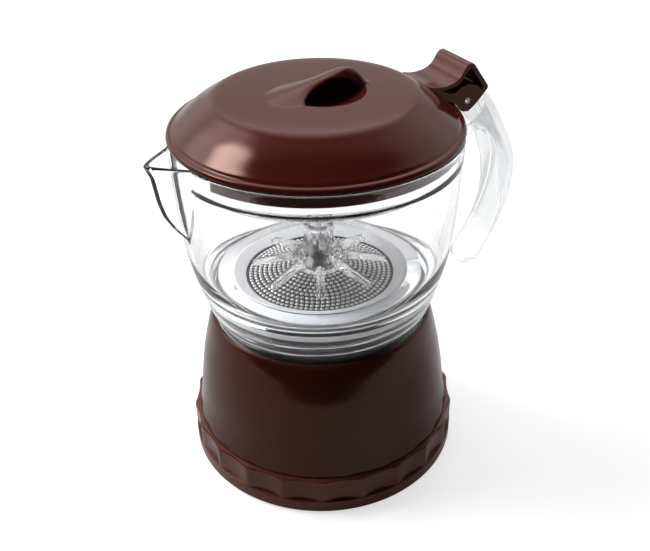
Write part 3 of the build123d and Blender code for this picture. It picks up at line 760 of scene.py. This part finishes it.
# The handle is a bent channel, closed at the back and open towards the jug, with a round foot.
back = through([(76.2, 152.0), (81.2, 144.6), (88.3, 131.6), (92.8, 121.0), (93.8, 110.0), (90.8, 94.5),
                (85.4, 82.9), (79.0, 73.0)], 2.0)
front = through([(76.0, 71.6), (83.6, 84.0), (87.4, 95.6), (87.6, 110.0), (83.2, 125.6), (77.8, 134.4),
                 (73.0, 136.6)], 2.0)
handle = plate("handle", rounded(back + [(75.4, 67.6), (72.8, 66.6), (72.4, 68.6)] + front
                                 + [(62.0, 133.6), (56.0, 128.0), (56.0, 148.0), (70.0, 152.0)], 1.0),
               -8.3, 8.3, 0.9)
hollow = through([(75.4, 149.0), (80.0, 141.0), (86.2, 130.4), (90.7, 120.2), (91.6, 110.0),
                  (88.8, 95.2), (83.6, 84.2), (77.6, 74.6)], 2.0)
channel = plate("channel", hollow + [(74.0, 71.0), (70.0, 74.0), (80.0, 96.0), (80.0, 120.0),
                                     (72.0, 133.0), (66.0, 138.0), (66.0, 149.0)], -6.3, 6.3)
handle = combined(handle, channel, "DIFFERENCE")
pin_at = (63.9, 151.7)            # x and z of the hinge pin
handle = combined(handle, rod("swing", 13.0, -12, 12, *pin_at), "DIFFERENCE")
foot_round = 9.3
foot_height = 66.4 + foot_round
shield = [(foot_round * cos(a), foot_height + foot_round * sin(a)) for a in np.linspace(pi, 2 * pi, 25)]
shield += [(foot_round, 160.0), (-foot_round, 160.0)]
shield = between("shield", [(50, y, z) for y, z in shield], [(100, y, z) for y, z in shield])
handle = combined(handle, shield, "INTERSECT")
clear_of_wall = 57.9              # the handle ends just outside the jug's wall
room = turned("room", [(0, 60), (clear_of_wall, 60), (clear_of_wall, 152.5), (0, 152.5)], 160)
handle = combined(handle, room, "DIFFERENCE")
lug = plate("lug", rounded([(56.6, 143.6), (56.6, 150.2), (58.2, 150.4), (61.4, 154.6), (64.0, 151.0),
                            (64.2, 147.8)], 0.5), -8.2, 8.2, 0.3)
lug = combined(lug, rod("knuckle", 3.9, -8.2, 8.2, *pin_at), "UNION")
handle = combined(handle, lug, "UNION")
handle = combined(handle, rod("pin_hole", 1.5, -15, 15, *pin_at, 24), "DIFFERENCE")
fit(jug, clear_plastic("clear_styrene_jug", "fbfcfd", 1.49, 0.0, 0.06), "jug", "clear_jug", "jug")
clear_handle = clear_plastic("clear_styrene_handle", "f5f6f7", 1.46, 0.0, 0.03, 0.5)
fit(handle, clear_handle, "jug", "clear_jug")
refinish("hinge_pin", clear_column)


# Lid
# A glossy brown dome with a flat top, a round finger dish under a one-sided hood, a skirt that
# drops into the jug, and a hollow thumb lever with two ears on the hinge pin. One ABS moulding.

lid_brown = glossy_brown("polished_brown_abs_lid", "4f1c13", "47170f", 0.10, 0.04, 0.31)
dome = np.array(through([(0, 164.98), (15, 164.96), (28, 164.92), (36.0, 164.82), (39.6, 164.3),
                         (42.2, 162.95), (45.5, 161.0), (48.5, 159.0), (51.0, 157.0), (53.5, 154.9),
                         (54.9, 153.85)], 0.8))


def dome_height(radius):
    """Height of the dome's outside at this radius."""
    return np.interp(radius, dome[:, 0], dome[:, 1])


# The hood, seen from above and from the side: its crest, how far it spreads to the near and the
# far side of that, and the arch of its mouth, each as (x, value).
crest_line = through([(-23.5, 164.8), (-21.0, 164.95), (-18.5, 165.4), (-15.5, 166.1), (-12.6, 166.7),
                      (-6.3, 167.6), (2.2, 169.3), (10.7, 171.4), (13.2, 171.75), (15.2, 171.4),
                      (17.3, 170.4), (19.9, 167.9), (22.2, 165.3), (23.6, 164.7)], 0.5)
near_line = through([(-23.5, 2.2), (-20.5, 4.2), (-18.2, 7.8), (-15.4, 10.4), (-11.8, 10.8),
                     (-7.4, 8.9), (-4.0, 6.7), (0.4, 5.6), (5.0, 6.0), (9.0, 6.2), (13.3, 5.0),
                     (16.2, 4.1), (19.5, 4.0), (23.6, 2.4)], 0.5)
far_line = through([(-23.5, 3.0), (-19.6, 6.0), (-16.4, 8.5), (-9.0, 12.0), (1.4, 13.0),
                    (10.5, 12.5), (16.4, 9.0), (19.1, 6.0), (23.6, 2.6)], 0.5)
arch_line = through([(-8.6, 164.9), (-7.4, 165.3), (-3.4, 166.4), (0.1, 167.3), (4.7, 168.7),
                     (9.0, 169.1), (13.3, 167.8), (15.6, 165.7), (16.6, 164.9)], 0.5)
dish_x, dish_height, dish_radius = 3.5, 186.7, 27.2
hood_back = 4.0                   # the hollow under the hood ends at this y


def follow(line, x):
    """The line's value at x."""
    return np.interp(x, *np.array(line).T)


def soft_step(low, high, x):
    """0 below low, 1 above high and a smooth rise between."""
    t = np.clip((x - low) / (high - low), 0, 1)
    return t * t * (3 - 2 * t)


def grip_field(p):
    """Below zero inside the lid's top: the dome with the hood on it, less the dish and its mouth."""
    x, y, z = p[:, 0], p[:, 1], p[:, 2]
    near, far = follow(near_line, x), follow(far_line, x)
    base = dome_height(np.hypot(x, y))
    spread = np.where(y < 0, -y / near, y / far)
    ridge = np.maximum(1 - spread ** 2, 0) ** 1.3
    top = base + np.maximum(follow(crest_line, x) - base, 0) * ridge
    bowl = np.sqrt((x - dish_x) ** 2 + y ** 2 + (z - dish_height) ** 2) - dish_radius
    under_hood = soft_step(-8.8, -6.8, x) * (1 - soft_step(15.4, 17.0, x))
    back = hood_back * under_hood + (0.5 - near) * (1 - under_hood)
    ceiling = follow(arch_line, x) + 2 * np.maximum(0.6 - y - near, 0) - 0.4 * np.maximum(y + 1.0, 0)
    hollow = larger(larger(bowl, z - ceiling, 0.8), y - back, 0.8)
    return larger((z - top) * 0.8, -hollow, 0.8)


def field_slope(field, p):
    """The field's gradient by small steps."""
    step = 0.02
    parts = []
    for axis in range(3):
        move = np.zeros(3)
        move[axis] = step
        parts.append((field(p + move) - field(p - move)) / (2 * step))
    return np.stack(parts, axis=1)


def field_skin(field, xs, ys, zs):
    """Points and faces of the surface where the field is zero, one point in each cell of the grid
    that the surface crosses, then drawn on to the surface itself."""
    grid = np.stack(np.meshgrid(xs, ys, zs, indexing="ij"), axis=-1)
    value = field(grid.reshape(-1, 3)).reshape(grid.shape[:3])
    inside = value < 0
    cells = tuple(n - 1 for n in value.shape)
    total, hits = np.zeros((*cells, 3)), np.zeros(cells)
    crossings = []
    for axis in range(3):
        low = [slice(None)] * 3
        high = [slice(None)] * 3
        low[axis], high[axis] = slice(0, -1), slice(1, None)
        low, high = tuple(low), tuple(high)
        crossed = inside[low] != inside[high]
        share = np.where(crossed, value[low] / (value[low] - value[high] + 1e-30), 0)
        point = grid[low] + share[..., None] * (grid[high] - grid[low])
        crossings.append((axis, crossed, inside[low]))
        others = [a for a in range(3) if a != axis]
        for i in (0, 1):
            for j in (0, 1):
                pick = [slice(None)] * 3
                pick[others[0]] = slice(i, cells[others[0]] + i)
                pick[others[1]] = slice(j, cells[others[1]] + j)
                pick = tuple(pick)
                total += np.where(crossed[pick][..., None], point[pick], 0)
                hits += crossed[pick]
    used = hits > 0
    number = np.full(cells, -1)
    number[used] = np.arange(used.sum())
    points = total[used] / hits[used][:, None]
    for _ in range(6):
        slope = field_slope(field, points)
        points -= (field(points) / np.maximum((slope ** 2).sum(axis=1), 1e-6))[:, None] * slope * 0.9
    faces = []
    for axis, crossed, first in crossings:
        a, b = [n for n in range(3) if n != axis]
        for cell in np.argwhere(crossed):
            if cell[a] == 0 or cell[b] == 0 or cell[a] >= cells[a] or cell[b] >= cells[b]:
                continue
            corners = []
            for da, db in ((-1, -1), (0, -1), (0, 0), (-1, 0)):
                c = cell.copy()
                c[a] += da
                c[b] += db
                corners.append(number[tuple(c)])
            flip = first[tuple(cell)] != (axis == 1)
            faces.append(corners if flip else corners[::-1])
    return points, faces


join_radius = 26.5                # where the grip's skin ends and the round skin begins
cell = 0.5
points, faces = field_skin(grip_field, np.arange(-28, 28.01, cell), np.arange(-28, 28.01, cell),
                           np.arange(157.0, 175.01, cell))
kept = np.hypot(points[:, 0], points[:, 1]) < join_radius
faces = [f for f in faces if all(kept[i] for i in f)]
points = [tuple(p) for p in points]
# The border of the grip's skin, walked once round from the side that has no face beyond it.
sides = {(a, b) for f in faces for a, b in zip(f, f[1:] + f[:1])}
after = {a: b for a, b in sides if (b, a) not in sides}
border = [min(after, key=lambda i: np.arctan2(points[i][1], points[i][0]))]
while after[border[-1]] != border[0]:
    border.append(after[border[-1]])
angle_of = np.unwrap([np.arctan2(points[i][1], points[i][0]) for i in border])
if angle_of[-1] < angle_of[0]:
    border = [border[0]] + border[:0:-1]
    angle_of = np.unwrap([np.arctan2(points[i][1], points[i][0]) for i in border])
steps = 240
first_ring = len(points)
turns = [-pi + 2 * pi * (i + 0.5) / steps for i in range(steps)]
# The rim: a narrow groove, then a bead that overhangs the jug's rim.
rim = [(54.9, 153.85), (55.2, 153.35), (55.5, 153.0), (55.9, 152.85), (56.4, 152.88), (56.9, 152.82),
       (57.25, 152.6), (57.52, 152.25), (57.7, 151.8), (57.8, 151.35), (57.74, 151.05), (57.5, 150.9),
       (55.4, 150.9), (53.7, 150.9), (53.5, 151.2)]
under = through([(52.0, 153.0), (49.6, 155.2), (47.2, 157.2), (44.4, 159.1), (41.0, 160.9),
                 (36.8, 162.7)], 2.0)
radii = np.arange(join_radius + 0.6, 54.7, 0.7)
outline = [(r, dome_height(r)) for r in radii] + rim + under
outline += [(r, dome_height(r) - 2.05) for r in np.arange(35.0, 0.5, -1.5)]


def under_height(x, y, z):
    """The underside keeps the wall's thickness below the dish."""
    reach = (x - dish_x) ** 2 + y ** 2
    if reach >= (dish_radius + 2.0) ** 2 or np.hypot(x, y) > 30:
        return z
    bowl = dish_height - sqrt((dish_radius + 2.0) ** 2 - reach)
    return z - max(z - bowl, 0) * (1 - soft_step(hood_back, hood_back + 2.0, y))


top_rows = len(radii) + len(rim) + len(under)
for row, (r, z) in enumerate(outline):
    for a in turns:
        x, y = r * cos(a), r * sin(a)
        points.append((x, y, under_height(x, y, z) if row >= top_rows else z))
for row in range(len(outline) - 1):
    for j in range(steps):
        a, b = first_ring + row * steps + j, first_ring + row * steps + (j + 1) % steps
        faces.append([a, b, b + steps, a + steps])
last = first_ring + (len(outline) - 1) * steps
points.append((0, 0, under_height(0, 0, outline[-1][1])))
faces += [[last + j, last + (j + 1) % steps, len(points) - 1] for j in range(steps)]
# The round skin and the grip's skin are sewn together along the join.
i = j = 0
while i < len(border) or j < steps:
    a, b = border[i % len(border)], first_ring + j % steps
    if j >= steps or (i < len(border) and angle_of[i] <= turns[j]):
        faces.append([a, border[(i + 1) % len(border)], b])
        i += 1
    else:
        faces.append([a, first_ring + (j + 1) % steps, b])
        j += 1
dome_piece = mesh_piece("lid_dome", points, faces)

# The skirt stops short on both sides of the spout, so that coffee can pour.
gap = np.arcsin(20 / 54.4)
sweep = np.linspace(pi + gap - 2 * pi, pi - gap, 220)
section = rounded([(53.5, 145.1), (55.3, 145.1), (55.3, 152.2), (53.5, 152.2)], 0.4)
count = len(section)
points = [(r * cos(a), r * sin(a), z) for a in sweep for r, z in section]
faces = [tuple(range(count)), tuple(range(len(points) - 1, len(points) - count - 1, -1))]
for i in range(len(sweep) - 1):
    for j in range(count):
        a, b = i * count + j, i * count + (j + 1) % count
        faces.append((a, b, b + count, a + count))
skirt = mesh_piece("lid_skirt", points, faces)

# The lever's skin runs up from the dome, over the crest and down its back.
skin_top = through([(45.5, 160.9), (50.0, 160.0), (55.0, 160.3), (59.0, 162.0), (61.2, 164.8),
                    (63.0, 167.0), (65.2, 167.4)], 0.8)
skin_back = [(66.4, 166.4), (73.6, 156.6), (73.7, 155.4), (71.6, 153.2), (67.8, 149.4), (64.6, 147.2),
             (61.6, 147.6), (59.6, 149.6), (58.4, 151.2), (56.6, 151.6), (52.0, 154.6), (45.5, 159.0)]
lever = plate("lid_lever", rounded(skin_top + skin_back, 0.8), -10.5, 10.5, 0.5)
inside = through([(50.4, 158.7), (55.2, 158.7), (59.8, 160.3), (62.2, 163.4), (64.6, 165.6)], 0.8)
inside += [(71.2, 156.6), (70.6, 155.2), (68.2, 157.6), (63.9, 159.0), (60.0, 158.0), (57.6, 156.4),
           (54.6, 156.6)]
lever = combined(lever, plate("inside", inside, -12, 12), "DIFFERENCE")
lever = combined(lever, rod("lug_room", 5.6, -8.5, 8.5, *pin_at), "DIFFERENCE")
below = [(54.0, 152.6), (60.0, 152.6), pin_at, (71.0, 151.7), (71.0, 140.0), (54.0, 140.0)]
lever = combined(lever, plate("below", below, -8.5, 8.5), "DIFFERENCE")
lever = combined(lever, rod("pin_bore", 1.5, -15, 15, *pin_at, 24), "DIFFERENCE")
softened(lever, 0.18, 35, 2)

for piece, replaced in ((dome_piece, ("lid",)), (skirt, ()), (lever, ())):
    fit(piece, lid_brown, "lid", "brown_lid", *replaced)
